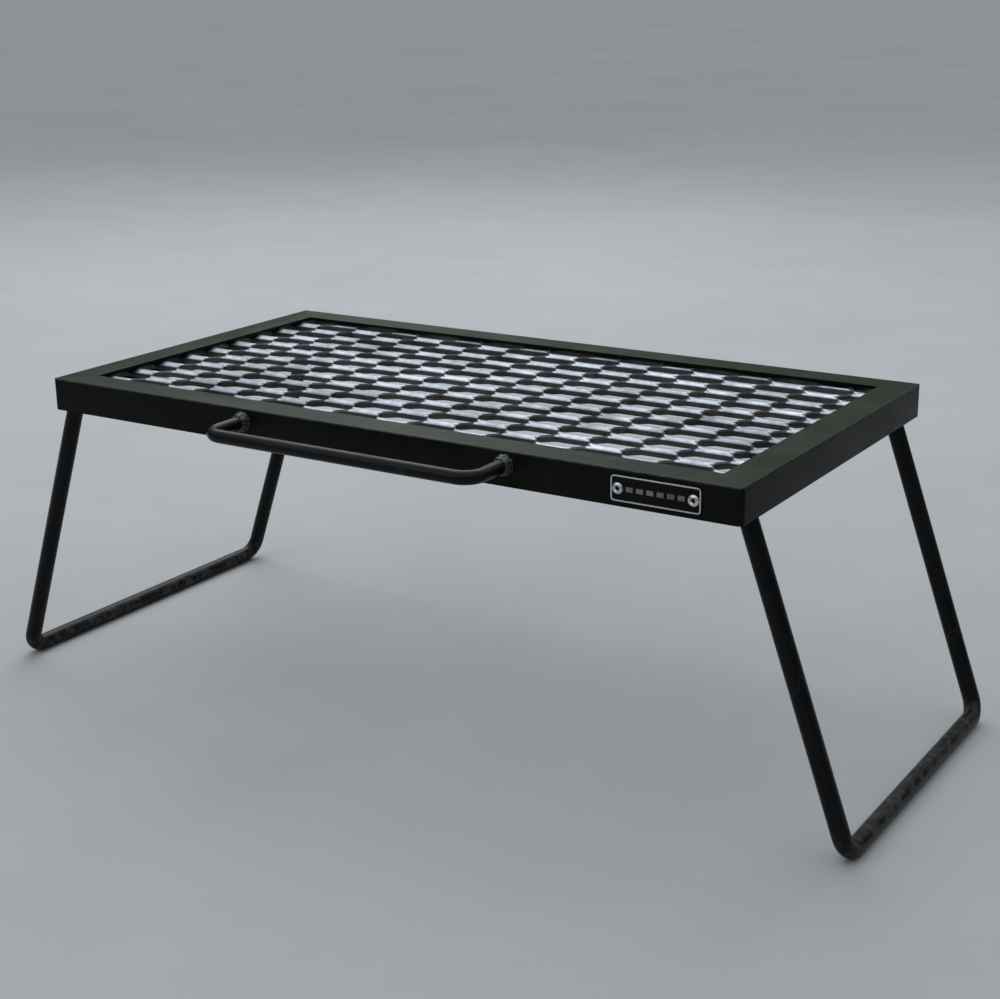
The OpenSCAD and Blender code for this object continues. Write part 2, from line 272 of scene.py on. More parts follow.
def wire_scuffs(wiring: Wiring, given: Mapping) -> Sequence[Socket]:
    """Fine scratches along thin warped lines, in a few places only."""
    warp = wiring.node("ShaderNodeTexNoise", {"Vector": given["Where"], "Scale": 14.0, "Detail": 1.0})
    shift = wiring.vector("MULTIPLY", warp.outputs["Color"], (0.02, 0.02, 0.02))
    bent = wiring.vector("ADD", given["Where"], shift)
    drawn = wiring.vector("MULTIPLY", bent, (0.35, 1.0, 0.6))
    inputs = {"Vector": drawn, "Scale": given["Scale"]}
    cracks = wiring.node("ShaderNodeTexVoronoi", inputs, feature="DISTANCE_TO_EDGE")
    line = wiring.fade(cracks.outputs["Distance"], given["Width"], 0.0)
    gate = wiring.fade(wiring.noise(given["Where"], 23.0, 3.0), 0.58, 0.7)
    return [wiring.math("MULTIPLY", line, gate)]


class Effects:
    """The shader groups that several finishes share."""

    def __init__(self) -> None:
        """Builds each group once."""
        patchy = {"Scale": 12.0, "Low": 0.0, "High": 1.0}
        crumbs = {"Scale": 300.0, "Size": 0.2, "Gate": 0.6}
        self.mottle = new_group("mottle", patchy, ["Value"], wire_mottle)
        self.specks = new_group("specks", crumbs, ["Mask"], wire_specks)
        self.dust = new_group("settled_dust", {"Cover": 0.5}, ["Mask"], wire_dust)
        self.grain = new_group("skin_grain", {"Scale": 900.0}, ["Height"], wire_grain)
        self.scuffs = new_group("scuffs", {"Scale": 30.0, "Width": 0.01}, ["Mask"], wire_scuffs)

    @staticmethod
    def use(wiring: Wiring, group: bpy.types.NodeTree, where: Value, **numbers: float) -> Socket:
        """Places a group in a material.

        Args:
            wiring: the material's wiring.
            group: the shared group.
            where: the place on the surface.
            numbers: values for the group's own inputs.

        Returns:
            The group's one output.
        """
        made = wiring.node("ShaderNodeGroup", node_tree=group)
        wiring.tree.links.new(where, made.inputs["Where"])
        for name, number in numbers.items():
            made.inputs[name].default_value = number
        return made.outputs[0]


# ---------------------------------------------------------------- finishes


@dataclass(frozen=True)
class Finish:
    """What every finish has: a name and the start of a node-based material."""

    name: str

    def start(self) -> tuple[bpy.types.Material, Wiring, Socket, bpy.types.Node]:
        """Makes an empty material.

        Returns:
            The material, its wiring, the place on the surface, and the main shader.
        """
        material = bpy.data.materials.new(self.name)
        material.use_nodes = True
        wiring = Wiring(material.node_tree)
        shader = material.node_tree.nodes["Principled BSDF"]
        where = wiring.node("ShaderNodeTexCoord").outputs["Object"]
        return material, wiring, where, shader

    @staticmethod
    def plug(wiring: Wiring, shader: bpy.types.Node, **sockets: Socket) -> None:
        """Joins results to the main shader; underscores in names stand for spaces."""
        for name, socket in sockets.items():
            wiring.tree.links.new(socket, shader.inputs[name.replace("_", " ")])


@dataclass(frozen=True)
class BarPaint(Finish):
    """Satin black paint on round bar, with dust low down and a few scuffs."""

    colour: Colour = (0.0035, 0.0038, 0.004)
    faded: Colour = (0.0065, 0.0072, 0.007)
    dust_colour: Colour = (0.09, 0.086, 0.075)
    steel_colour: Colour = (0.1, 0.098, 0.095)
    roughness: float = 0.27
    gloss: float = 0.13
    ground_dust: float = 26 * MM

    def build(self, effects: Effects) -> bpy.types.Material:
        """Wires the paint.

        Args:
            effects: the shared groups.

        Returns:
            The material.
        """
        material, wiring, where, shader = self.start()
        patches = effects.use(wiring, effects.mottle, where, Scale=16.0, Low=0.0, High=1.0)
        dust = effects.use(wiring, effects.dust, where, Cover=0.09)
        low = wiring.fade(wiring.height(where), self.ground_dust, 0.0)
        splash = wiring.math("MULTIPLY", low, wiring.fade(wiring.noise(where, 140.0, 5.0), 0.4, 0.72))
        dirt = wiring.math("MAXIMUM", dust, wiring.math("MULTIPLY", splash, 0.7))
        scuffs = effects.use(wiring, effects.scuffs, where, Scale=34.0, Width=0.008)
        paint = wiring.blend(patches, self.colour, self.faded)
        dusty = wiring.blend(dirt, paint, self.dust_colour)
        worn = wiring.blend(wiring.math("MULTIPLY", scuffs, 0.22), dusty, self.steel_colour)
        rough = wiring.span(patches, self.roughness - 0.05, self.roughness + 0.08)
        rougher = wiring.math("MULTIPLY_ADD", dirt, 0.45, rough)
        grain = effects.use(wiring, effects.grain, where, Scale=620.0)
        pitted = wiring.math("SUBTRACT", grain, wiring.math("MULTIPLY", scuffs, 0.4))
        shader.inputs["Specular IOR Level"].default_value = self.gloss
        bumped = wiring.bump(pitted, 0.5, 0.05 * MM)
        self.plug(wiring, shader, Base_Color=worn, Roughness=rougher, Normal=bumped)
        return material


@dataclass(frozen=True)
class RailPaint(Finish):
    """Olive-black paint on the angle frame, with a painted reflection that makes faces looking up
    lighter and greener, and a pale line along its outer top edges that is partly rubbed wear and partly
    painted highlight.
    """

    measures: Measures = field(default_factory=Measures)
    colour: Colour = (0.0038, 0.0042, 0.0032)
    faded: Colour = (0.0075, 0.0088, 0.0055)
    # Painted reflection: the lighter, greener colour given to faces that look up.
    painted_top_reflection: Colour = (0.0085, 0.017, 0.0062)
    # Pale colour of scratches and of the outer top edge line, which is partly rubbed wear and partly
    # painted highlight.
    rubbed_and_edge_highlight: Colour = (0.16, 0.165, 0.13)
    dust_colour: Colour = (0.1, 0.13, 0.07)
    crumb_colour: Colour = (0.45, 0.44, 0.4)
    roughness: float = 0.34
    gloss: float = 0.07

    def build(self, effects: Effects) -> bpy.types.Material:
        """Wires the paint, its wear, its painted reflection and its edge line, placed by the frame's
        own sizes.

        Args:
            effects: the shared groups.

        Returns:
            The material.
        """
        material, wiring, where, shader = self.start()
        edge, seam, level = self.edge_seam_and_level(wiring, where)
        patches = effects.use(wiring, effects.mottle, where, Scale=9.0, Low=0.0, High=1.0)
        dust = effects.use(wiring, effects.dust, where, Cover=0.13)
        scuffs = effects.use(wiring, effects.scuffs, where, Scale=22.0, Width=0.006)
        specks = effects.use(wiring, effects.specks, where, Scale=170.0, Size=0.16, Gate=0.62)
        crumbs = wiring.math("MULTIPLY", specks, level)
        # Pale band along the outer top edge, broken by noise: partly rubbed wear, partly painted
        # highlight of the rounded edge.
        chafe = wiring.fade(wiring.noise(where, 260.0, 5.0), 0.38, 0.66)
        edge_highlight_and_rub = wiring.math("MULTIPLY", edge, wiring.span(chafe, 0.16, 0.4))
        sides = wiring.blend(patches, self.colour, self.faded)
        # Painted reflection: faces that look up are turned lighter and greener.
        paint = wiring.blend(wiring.math("MULTIPLY", level, 0.85), sides, self.painted_top_reflection)
        dusty = wiring.blend(dust, paint, self.dust_colour)
        scratched = wiring.blend(wiring.math("MULTIPLY", scuffs, 0.3), dusty, self.rubbed_and_edge_highlight)
        edged = wiring.blend(edge_highlight_and_rub, scratched, self.rubbed_and_edge_highlight)
        crumbed = wiring.blend(wiring.math("MULTIPLY", crumbs, 0.8), edged, self.crumb_colour)
        rough = wiring.span(patches, self.roughness - 0.06, self.roughness + 0.1)
        seamed = wiring.math("MULTIPLY_ADD", seam, 0.07, rough)
        rougher = wiring.math("MULTIPLY_ADD", wiring.math("MAXIMUM", dust, edge_highlight_and_rub), 0.3, seamed)
        grain = effects.use(wiring, effects.grain, where, Scale=520.0)
        uneven = wiring.math("MULTIPLY", seam, wiring.noise(where, 180.0, 3.0))
        skin = wiring.math("MULTIPLY_ADD", uneven, 1.6, grain)
        shader.inputs["Specular IOR Level"].default_value = self.gloss
        bumped = wiring.bump(skin, 0.5, 0.06 * MM)
        self.plug(wiring, shader, Base_Color=crumbed, Roughness=rougher, Normal=bumped)
        return material

    def edge_seam_and_level(self, wiring: Wiring, where: Socket) -> tuple:
        """Finds the outer top edge, the ground mitre joints and the level top.

        Args:
            wiring: the material's wiring.
            where: the place on the surface.

        Returns:
            Masks for the edge, for the band along each mitre, and for faces that look up.
        """
        sizes = self.measures
        inputs = {"Vector": where, "Location": (0.0, -sizes.middle_y, -sizes.top_z)}
        centred = wiring.node("ShaderNodeMapping", inputs)
        parts = wiring.node("ShaderNodeSeparateXYZ", {"Vector": centred.outputs[0]}).outputs
        from_end = wiring.math("SUBTRACT", sizes.half_len, wiring.math("ABSOLUTE", parts["X"]))
        from_side = wiring.math("SUBTRACT", sizes.half_dep, wiring.math("ABSOLUTE", parts["Y"]))
        inwards = wiring.math("MINIMUM", from_end, from_side)
        below = wiring.math("MULTIPLY", parts["Z"], -1.0)
        off_edge = wiring.math("MAXIMUM", inwards, below)
        edge = wiring.fade(off_edge, 1.3 * MM, 0.25 * MM)
        off_mitre = wiring.math("ABSOLUTE", wiring.math("SUBTRACT", from_end, from_side))
        seam = wiring.fade(off_mitre, 9 * MM, 2 * MM)
        return edge, seam, wiring.fade(wiring.facing_up(), 0.7, 0.95)


@dataclass(frozen=True)
class BareSteel(Finish):
    """Plain steel with a cloudy mill skin, some soot and a little rust."""

    colour: Colour = (0.31, 0.33, 0.36)
    cloudy: Colour = (0.21, 0.225, 0.25)
    soot: Colour = (0.05, 0.046, 0.042)
    rust: Colour = (0.17, 0.07, 0.03)
    roughness: float = 0.36
    soot_cover: float = 0.35
    rust_cover: float = 0.5
    grain_depth: float = 0.05 * MM

    def build(self, effects: Effects) -> bpy.types.Material:
        """Wires the steel.

        Args:
            effects: the shared groups.

        Returns:
            The material.
        """
        material, wiring, where, shader = self.start()
        patches = effects.use(wiring, effects.mottle, where, Scale=30.0, Low=0.0, High=1.0)
        smoke = effects.use(wiring, effects.mottle, where, Scale=11.0, Low=-0.5, High=1.0)
        sooty = wiring.math("MULTIPLY", smoke, self.soot_cover, clamp=True)
        specks = effects.use(wiring, effects.specks, where, Scale=420.0, Size=0.34, Gate=0.6)
        rusty = wiring.math("MULTIPLY", specks, self.rust_cover)
        skin = wiring.blend(patches, self.colour, self.cloudy)
        smoked = wiring.blend(sooty, skin, self.soot)
        spotted = wiring.blend(rusty, smoked, self.rust)
        rough = wiring.span(patches, self.roughness - 0.06, self.roughness + 0.1)
        rougher = wiring.math("MULTIPLY_ADD", wiring.math("MAXIMUM", sooty, rusty), 0.35, rough)
        metal = wiring.math("SUBTRACT", 1.0, rusty, clamp=True)
        grain = effects.use(wiring, effects.grain, where, Scale=760.0)
        bumped = wiring.bump(grain, 0.45, self.grain_depth)
        self.plug(wiring, shader, Base_Color=spotted, Roughness=rougher, Metallic=metal, Normal=bumped)
        return material


@dataclass(frozen=True)
class WeldSkin(Finish):
    """Fresh weld metal: bright and straw-tinted patches with scattered dark scale."""

    bright: Colour = (0.42, 0.41, 0.4)
    straw: Colour = (0.3, 0.24, 0.16)
    dark: Colour = (0.06, 0.06, 0.065)
    roughness: float = 0.24

    def build(self, effects: Effects) -> bpy.types.Material:
        """Wires the weld.

        Args:
            effects: the shared groups.

        Returns:
            The material.
        """
        material, wiring, where, shader = self.start()
        tint = effects.use(wiring, effects.mottle, where, Scale=120.0, Low=0.0, High=1.0)
        scale = effects.use(wiring, effects.mottle, where, Scale=260.0, Low=-0.6, High=1.0)
        dark = wiring.math("MULTIPLY", scale, 0.7, clamp=True)
        metal = wiring.blend(tint, self.bright, self.straw)
        scaled = wiring.blend(dark, metal, self.dark)
        rough = wiring.span(tint, self.roughness - 0.06, self.roughness + 0.14)
        grain = effects.use(wiring, effects.grain, where, Scale=1500.0)
        bumped = wiring.bump(grain, 0.5, 0.06 * MM)
        shader.inputs["Metallic"].default_value = 1.0
        self.plug(wiring, shader, Base_Color=scaled, Roughness=rough, Normal=bumped)
        return material


@dataclass(frozen=True)
class Enamel(Finish):
    """Smooth black enamel of the nameplate, with a few hairlines."""

    colour: Colour = (0.002, 0.002, 0.002)
    hazy: Colour = (0.004, 0.004, 0.0045)
    hairline: Colour = (0.1, 0.1, 0.1)
    roughness: float = 0.26
    gloss: float = 0.12

    def build(self, effects: Effects) -> bpy.types.Material:
        """Wires the enamel.

        Args:
            effects: the shared groups.

        Returns:
            The material.
        """
        material, wiring, where, shader = self.start()
        haze = effects.use(wiring, effects.mottle, where, Scale=60.0, Low=0.0, High=1.0)
        hairs = effects.use(wiring, effects.scuffs, where, Scale=90.0, Width=0.006)
        base = wiring.blend(haze, self.colour, self.hazy)
        lined = wiring.blend(wiring.math("MULTIPLY", hairs, 0.35), base, self.hairline)
        rough = wiring.span(haze, self.roughness - 0.05, self.roughness + 0.1)
        grain = effects.use(wiring, effects.grain, where, Scale=900.0)
        shader.inputs["Specular IOR Level"].default_value = self.gloss
        bumped = wiring.bump(grain, 0.25, 0.03 * MM)
        self.plug(wiring, shader, Base_Color=lined, Roughness=rough, Normal=bumped)
        return material


@dataclass(frozen=True)
class StudioFloor(Finish):
    """Plain pale floor with the faintest unevenness."""

    colour: Colour = (0.37, 0.37, 0.365)
    other: Colour = (0.4, 0.4, 0.395)
    roughness: float = 0.85
    gloss: float = 0.2

    def build(self, effects: Effects) -> bpy.types.Material:
        """Wires the floor.

        Args:
            effects: the shared groups.

        Returns:
            The material.
        """
        material, wiring, where, shader = self.start()
        patches = effects.use(wiring, effects.mottle, where, Scale=1.5, Low=0.0, High=1.0)
        shader.inputs["Roughness"].default_value = self.roughness
        shader.inputs["Specular IOR Level"].default_value = self.gloss
        self.plug(wiring, shader, Base_Color=wiring.blend(patches, self.colour, self.other))
        return material


class Finishes:
    """Every finish of the grill, built once."""

    def __init__(self, measures: Measures) -> None:
        """Builds the materials.

        Args:
            measures: sizes that the frame's wear follows.
        """
        self.effects = Effects()
        make = self.effects
        self.rails = RailPaint("rail_paint", measures=measures).build(make)
        self.bars = BarPaint("bar_paint").build(make)
        self.panel = BareSteel("panel_steel").build(make)
        # Darker steel for the strands' side faces, eased corners, sloped stretches and cut ends: partly
        # the sheared edges' own soot and rust, partly painted shade.
        self.sheared_and_shaded = BareSteel(
            "sheared_steel_painted_shade",
            colour=(0.12, 0.122, 0.128),
            cloudy=(0.07, 0.07, 0.073),
            roughness=0.5,
            soot_cover=0.6,
            rust_cover=0.7,
            grain_depth=0.12 * MM,
        ).build(make)
        self.rods = BareSteel(
            "rod_steel", colour=(0.34, 0.345, 0.35), cloudy=(0.22, 0.22, 0.225)
        ).build(make)
        self.welds = WeldSkin(
            "weld_skin", bright=(0.26, 0.26, 0.265), straw=(0.17, 0.15, 0.12)
        ).build(make)
        self.painted_welds = BarPaint(
            "painted_weld", faded=(0.012, 0.013, 0.015), roughness=0.15, gloss=0.6
        ).build(make)
        self.enamel = Enamel("plate_enamel").build(make)
        self.bright = BareSteel(
            "bright_aluminium",
            colour=(0.72, 0.72, 0.73),
            cloudy=(0.56, 0.56, 0.57),
            roughness=0.28,
            soot_cover=0.02,
            rust_cover=0.0,
            grain_depth=0.02 * MM,
        ).build(make)
        self.dull = BareSteel(
            "dull_relief",
            colour=(0.3, 0.3, 0.3),
            cloudy=(0.16, 0.16, 0.16),
            roughness=0.42,
            rust_cover=0.0,
        ).build(make)
        self.floor = StudioFloor("studio_floor").build(make)


# ---------------------------------------------------------------- shapes


def turned(matrix: Matrix, shape: Shape) -> Shape:
    """Moves a whole shape by a matrix and returns it."""
    bmesh.ops.transform(shape, matrix=matrix, verts=shape.verts)
    return shape


def joined(shapes: Sequence[Shape]) -> Shape:
    """Puts several shapes into one and frees the others.

    Args:
        shapes: the shapes, in any number.

    Returns:
        One shape that holds them all.
    """
    whole = bmesh.new()
    for shape in shapes:
        carrier = bpy.data.meshes.new("carrier")
        shape.to_mesh(carrier)
        whole.from_mesh(carrier)
        bpy.data.meshes.remove(carrier)
        shape.free()
    return whole


def swept_round(shape: Shape, steps: int, merge: float) -> None:
    """Sweeps what a shape holds once round the Z axis and closes it.

    Args:
        shape: the shape, which holds only the section.
        steps: number of flats round the piece.
        merge: distance within which points are made one.
    """
    section = [*shape.verts, *shape.edges]
    bmesh.ops.spin(
        shape, geom=section, cent=(0, 0, 0), axis=(0, 0, 1), angle=math.tau, steps=steps, use_merge=True
    )
    bmesh.ops.remove_doubles(shape, verts=shape.verts, dist=merge)
    bmesh.ops.recalc_face_normals(shape, faces=shape.faces)


def bead_swell(phase: float) -> float:
    """Gives the height of a weld scale, 0 in its valley and 1 on its crown."""
    return math.sqrt(max(0.0, 1.0 - (2.0 * phase**0.8 - 1.0) ** 2))


def lathed(profile: Sequence[tuple[float, float]], steps: int = 48) -> Shape:
    """Turns a profile round the Z axis.

    Args:
        profile: radius and height of each point, in order.
        steps: number of flats round the piece.

    Returns:
        The turned shape.
    """
    shape = bmesh.new()
    points = [shape.verts.new((radius, 0.0, height)) for radius, height in profile]
    for one, other in zip(points, points[1:]):
        shape.edges.new((one, other))
    swept_round(shape, steps, 1e-6)
    return shape


def tube(bore: float, radius: float, length: float, chamfer: float) -> Shape:
    """Makes a tube along Z, centred, with its outer rims eased; a bore of 0 makes a rod."""
    half = length / 2
    eased = radius - chamfer
    outside = [(eased, -half), (radius, chamfer - half), (radius, half - chamfer), (eased, half)]
    if bore:
        return lathed([(bore, -half), *outside, (bore, half), (bore, -half)])
    return lathed([(0.0, -half), *outside, (0.0, half)])


def ring_bead(radius: float, bead: float, ripples: int, depth: float = 0.16) -> Shape:
    """Makes a rippled weld bead round the Z axis.

    Args:
        radius: axis to the middle of the bead.
        bead: radius of the bead's own section.
        ripples: number of overlapping scales round the ring.
        depth: how deep the valleys are, as a share of the bead.

    Returns:
        The bead.
    """
    shape = bmesh.new()
    turn = Matrix.Translation((radius, 0, 0)) @ Matrix.Rotation(math.pi / 2, 4, "X")
    bmesh.ops.create_circle(shape, segments=14, radius=bead, matrix=turn)
    swept_round(shape, ripples * 8, 1e-7)
    for vert in shape.verts:
        angle = math.atan2(vert.co.y, vert.co.x)
        middle = Vector((radius * math.cos(angle), radius * math.sin(angle), 0))
        phase = (angle / math.tau * ripples) % 1.0
        vert.co = middle + (vert.co - middle) * (1.0 - depth + depth * bead_swell(phase))
    return shape


def straight_bead(length: float, bead: float, ripples: int) -> Shape:
    """Makes a rippled bead along Z from the origin.

    Args:
        length: length of the bead.
        bead: radius of its section.
        ripples: number of overlapping scales.

    Returns:
        The bead, with rounded ends.
    """
    steps = ripples * 6
    profile = []
    for step in range(steps + 1):
        share = step / steps
        phase = (share * ripples) % 1.0
        end = math.sqrt(max(0.0, 1.0 - (2.0 * share - 1.0) ** 10))
        profile.append((bead * end * (0.86 + 0.14 * bead_swell(phase)), share * length))
    profile[0] = (0.0, 0.0)
    profile[-1] = (0.0, length)
    return lathed(profile, 16)


def u_bar(radius: float, width: float, reach: float, bend: float, start: float = 0.0) -> Shape:
    """Bends a round bar into a U whose arms run along +Z and whose middle runs along X.

    Args:
        radius: radius of the bar.
        width: distance between the middles of the two arms.
        reach: height of the middle of the cross bar.
        bend: bend radius to the middle of the bar.
        start: height at which the arms begin.

    Returns:
        The bar, open at its two ends.
    """
    shape = bmesh.new()
    place = Matrix.Translation((-width / 2, 0, start))
    bmesh.ops.create_circle(shape, segments=40, radius=radius, matrix=place)

    def push(edges: list, way: Vector) -> list:
        """Draws the open ring of edges out along a vector."""
        made = bmesh.ops.extrude_edge_only(shape, edges=edges)["geom"]
        moved = [g for g in made if isinstance(g, bmesh.types.BMVert)]
        bmesh.ops.translate(shape, vec=way, verts=moved)
        return [g for g in made if isinstance(g, bmesh.types.BMEdge)]

    ring = push(list(shape.edges), Vector((0, 0, reach - bend - start)))
    ends = {v for e in ring for v in e.verts}
    spun = bmesh.ops.spin(
        shape,
        geom=[*ends, *ring],
        cent=(-width / 2 + bend, 0, reach - bend),
        axis=(0, 1, 0),
        angle=math.pi / 2,
        steps=16,
    )["geom_last"]
    push([g for g in spun if isinstance(g, bmesh.types.BMEdge)], Vector((width / 2 - bend, 0, 0)))
    bmesh.ops.remove_doubles(shape, verts=shape.verts, dist=1e-7)
    whole = [*shape.verts, *shape.edges, *shape.faces]
    bmesh.ops.mirror(shape, geom=whole, axis="X", merge_dist=1e-6)
    bmesh.ops.recalc_face_normals(shape, faces=shape.faces)
    return shape


def finished(
    name: str,
    shape: Shape,
    materials: Sequence[bpy.types.Material],
    body: Body,
    stands_for: Sequence[str],
    sharp: float = 35.0,
) -> bpy.types.Object:
    """Turns a shape into a piece of the grill.

    Args:
        name: the piece's name.
        shape: the shape, in place; it is freed.
        materials: its finishes, in the order of its faces' material numbers.
        body: the body that it moves with.
        stands_for: the CAD nodes that it is shown in place of.
        sharp: angle between faces, in degrees, from which an edge stays crisp.

    Returns:
        The object.
    """
    mesh = bpy.data.meshes.new(name)
    shape.to_mesh(mesh)
    shape.free()
    for material in materials:
        mesh.materials.append(material)
    mesh.shade_smooth()
    mesh.set_sharp_from_angle(angle=math.radians(sharp))
    piece = bpy.data.objects.new(name, mesh)
    bpy.context.scene.collection.objects.link(piece)
    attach(piece, body.value)
    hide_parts(*stands_for)
    LOG.info("%s: %d faces", name, len(mesh.polygons))
    return piece


# ---------------------------------------------------------------- sub-assemblies


@dataclass
class AngleFrame:
    """The four mitred rails and the welds inside their corners."""

    measures: Measures
    finishes: Finishes
    eased: float = 0.4 * MM
    bead: float = 1.9 * MM

    def build(self) -> None:
        """Makes the rails and the corner welds."""
        for node in ("front_rail", "back_rail", "left_rail", "right_rail"):
            rail = self.rail(node)
            finished(f"{node}_angle", rail, [self.finishes.rails], Body.FRAME, [node])
        self.corner_welds()

    def rail(self, node: str) -> Shape:
        """Cleans a copy of one rail and eases its crisp long edges.

        Args:
            node: the rail's CAD node.

        Returns:
            The rail, with its mitre ends left flush.
        """
        shape = bmesh.new()
        shape.from_mesh(frame["nodes"][node].data)
        bmesh.ops.remove_doubles(shape, verts=shape.verts, dist=1e-6)
        flat = math.radians(0.5)
        bmesh.ops.dissolve_limit(shape, angle_limit=flat, verts=shape.verts, edges=shape.edges)
        crisp = [
            edge
            for edge in shape.edges
            if len(edge.link_faces) == 2
            and edge.calc_face_angle() > math.radians(60)
            and not any(self.on_mitre(face) for face in edge.link_faces)
        ]
        bmesh.ops.bevel(
            shape,
            geom=crisp,
            offset=self.eased,
            segments=3,
            profile=0.5,
            affect="EDGES",
            material=-1,
            clamp_overlap=True,
        )
        return shape

    def on_mitre(self, face: bmesh.types.BMFace) -> bool:
        """Tells whether a face is one of the cut ends that meet in a corner."""
        middle = face.calc_center_median()
        from_end = self.measures.half_len - abs(middle.x)
        from_side = self.measures.half_dep - abs(middle.y - self.measures.middle_y)
        upright = abs(face.normal.z) < 0.01
        return abs(from_end - from_side) < 1e-5 and upright and abs(face.normal.x) < 0.9

    def corner_welds(self) -> None:
        """Lays one upright bead into each inner corner."""
        low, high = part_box("corner_welds")
        length = high[2] - low[2]
        inset = self.bead * 0.45
        beads = []
        for x in (low[0] + inset, high[0] - inset):
            for y in (low[1] + inset, high[1] - inset):
                bead = straight_bead(length, self.bead, 9)
                beads.append(turned(Matrix.Translation((x, y, low[2])), bead))
        paint = [self.finishes.rails]
        finished(
            "corner_weld_beads", joined(beads), paint, Body.FRAME, ["corner_welds"]
        )


@dataclass
class GrillPanel:
    """The expanded-metal panel: rows of strands joined along flat bonds."""

    measures: Measures
    finishes: Finishes
    long_pitch: float = 67.2 * MM
    short_pitch: float = 30.4 * MM
    strand: float = 3.7 * MM
    sheet: float = 4.4 * MM
    bond: float = 27 * MM
    tilt: float = math.radians(18)
    shift_x: float = 3.6 * MM
    shift_y: float = -1 * MM
    eased: float = 0.45 * MM
    knee: float = 1.1 * MM
    stations: int = 40

    def build(self) -> None:
        """Makes the panel, cut to the size of its CAD node."""
        low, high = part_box("grill_mesh")
        rows = self.rows(low[1], high[1])
        strand = self.long_strand(high[0])
        strands = []
        for row in rows:
            shift = self.shift_x + (self.long_pitch / 2 if row % 2 else 0.0)
            back = self.measures.middle_y + self.shift_y + row * self.short_pitch / 2
            place = Matrix.Translation((shift, back, self.plane_z()))
            strands.append(turned(place, strand.copy()))
        strand.free()
        panel = joined(strands)
        for axis in (0, 1):
            self.cut(panel, axis, low[axis], -1)
            self.cut(panel, axis, high[axis], 1)
        finished(
            "grill_panel_strands",
            panel,
            [self.finishes.panel, self.finishes.sheared_and_shaded],
            Body.FRAME,
            ["grill_mesh"],
            sharp=50.0,
        )

    def rows(self, low_y: float, high_y: float) -> list[int]:
        """Counts the strand rows whose bonds lie between two limits.

        Args:
            low_y: front limit.
            high_y: back limit.

        Returns:
            Row numbers from the front.
        """
        step = self.short_pitch / 2
        zero = self.measures.middle_y + self.shift_y
        first = math.ceil((low_y - zero) / step - 0.3)
        last = math.floor((high_y - zero) / step + 0.3)
        return list(range(first, last))

    def plane_z(self) -> float:
        """Height of the middle of the bonds, so that the panel meets the flanges."""
        rise = self.strand * math.sin(self.tilt) + self.sheet / 2 * math.cos(self.tilt)
        return self.measures.under_flange_z - rise

    def share(self, x: float) -> float:
        """Tells how far a strand has gone from its front bond (0) to its back bond (1)."""
        off = abs(x - self.long_pitch * round(x / self.long_pitch))
        slope = (self.long_pitch - 2 * self.bond) / 2
        total = 0.0
        for side in (-1.0, -0.5, 0.0, 0.5, 1.0):
            total += min(1.0, max(0.0, (off + side * self.knee - self.bond / 2) / slope))
        return total / 5

    def long_strand(self, half_len: float) -> Shape:
        """Draws one strand, longer than the panel, along its wave.

        Args:
            half_len: half the panel's length.

        Returns:
            The strand, open at both ends, with its front bonds at the origin.
        """
        shape = bmesh.new()
        cells = math.ceil(half_len / self.long_pitch) + 1
        step = self.long_pitch / self.stations
        first = -cells * self.stations
        corners = self.section(first * step)
        ring = [shape.verts.new(point) for point in corners]
        edges = [shape.edges.new((ring[k], ring[(k + 1) % len(ring)])) for k in range(len(ring))]
        for station in range(first + 1, cells * self.stations + 1):
            made = bmesh.ops.extrude_edge_only(shape, edges=edges)["geom"]
            edges = [g for g in made if isinstance(g, bmesh.types.BMEdge)]
            fresh = [g for g in made if isinstance(g, bmesh.types.BMVert)]
            for vert, point in zip(fresh, self.section(station * step)):
                vert.co = point
        bmesh.ops.recalc_face_normals(shape, faces=shape.faces)
        sheet_way = Vector((0, -math.sin(self.tilt), math.cos(self.tilt)))
        # Faces that lie in the sheet's plane keep the bright steel; side faces, eased corners and the
        # sloped stretches between bonds get the darker steel, which is painted shade on the slopes and
        # partly painted shade on the sheared sides.
        for face in shape.faces:
            face.material_index = 0 if abs(face.normal.dot(sheet_way)) > 0.9 else 1
        return shape

    def section(self, x: float) -> list[Vector]:
        """Gives the corners of a strand's section.

        Args:
            x: place along the strand.

        Returns:
            Eight corners, crisp on the side where a bond goes on into the next strand.
        """
        share = self.share(x)
        along = Vector((0, math.cos(self.tilt), math.sin(self.tilt)))
        normal = Vector((0, -math.sin(self.tilt), math.cos(self.tilt)))
        row_step = self.short_pitch / 2
        climb = row_step * math.cos(self.tilt) - self.strand
        sink = row_step * math.sin(self.tilt)
        middle = Vector((x, 0, 0)) + along * (self.strand / 2 + climb * share) - normal * (sink * share)
        front = self.eased * min(1.0, share * 9)
        back = self.eased * min(1.0, (1.0 - share) * 9)
        wide, thick = self.strand / 2, self.sheet / 2
        ends = ((-1, front), (1, back))
        points = []
        for side, ease in ends:
            order = (-1, 1) if side < 0 else (1, -1)
            for face in order:
                flat = (side * (wide - ease), face * thick)
                upright = (side * wide, face * (thick - max(ease, 1e-5)))
                points.extend([flat, upright] if side * face > 0 else [upright, flat])
        return [middle + along * u + normal * w for u, w in points]

